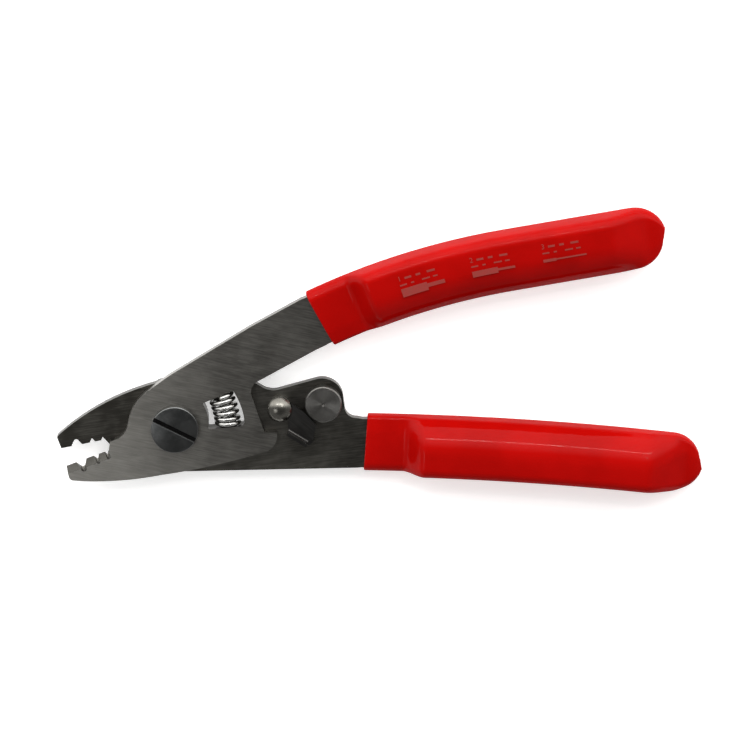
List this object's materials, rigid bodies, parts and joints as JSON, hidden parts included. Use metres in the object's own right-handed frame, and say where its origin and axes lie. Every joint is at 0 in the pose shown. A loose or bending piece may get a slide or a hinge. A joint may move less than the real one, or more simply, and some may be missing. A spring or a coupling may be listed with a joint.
{
  "type": "fibre stripper",
  "caption": "Plier-form fibre stripper: lapping bevelled jaws with graded notches, pivot screw, return spring, closing stop, swinging latch and dipped handle grips.",
  "frame": {"origin": "on the pivot axis, at the flush end of the pivot nut and screw that the tool lies on", "axes": "+X towards the handle ends, +Y towards the front (upper) handle, +Z along the pivot axis out of the front face"},
  "size_m": [0.1658, 0.0752, 0.0156],
  "materials": {
    "lever_front": "satin ground carbon steel",
    "lever_rear": "satin ground carbon steel, darker",
    "grip": "glossy dipped vinyl",
    "screw": "turned, dark",
    "hardware": "zinc plated",
    "spring": "bright spring wire",
    "latch": "bright pressed steel",
    "rivet": "polished nickel plate",
    "stop": "turned, dark, radial sheen"
  },
  "bodies": {
    "rear": {"rear_lever": "lever_rear", "rear_grip": "grip", "pivot_screw": "screw", "pivot_washer": "hardware", "pivot_nut": "hardware", "return_spring": "spring", "latch_rivet": "rivet", "latch_spacer": "hardware", "stop_disc": "stop", "stop_washer": "hardware", "stop_nut": "hardware"},
    "front": {"front_lever": "lever_front", "front_grip": "grip"},
    "latch": {"latch_plate": "latch"}
  },
  "joints": [
    {"name": "handle_closing", "type": "hinge", "parent": "rear", "child": "front", "pos_m": [0, 0, 0.007], "axis": [0, 0, -1], "range_deg": [0, 13.4], "stiffness_Nm_per_rad": 3.5, "springref_deg": -3.44, "deforming": ["return_spring"]},
    {"name": "latch_swing", "type": "hinge", "parent": "rear", "child": "latch", "pos_m": [0.027, 0.0052, 0.0087], "axis": [0, 0, -1], "range_deg": [0, 52]}
  ]
}
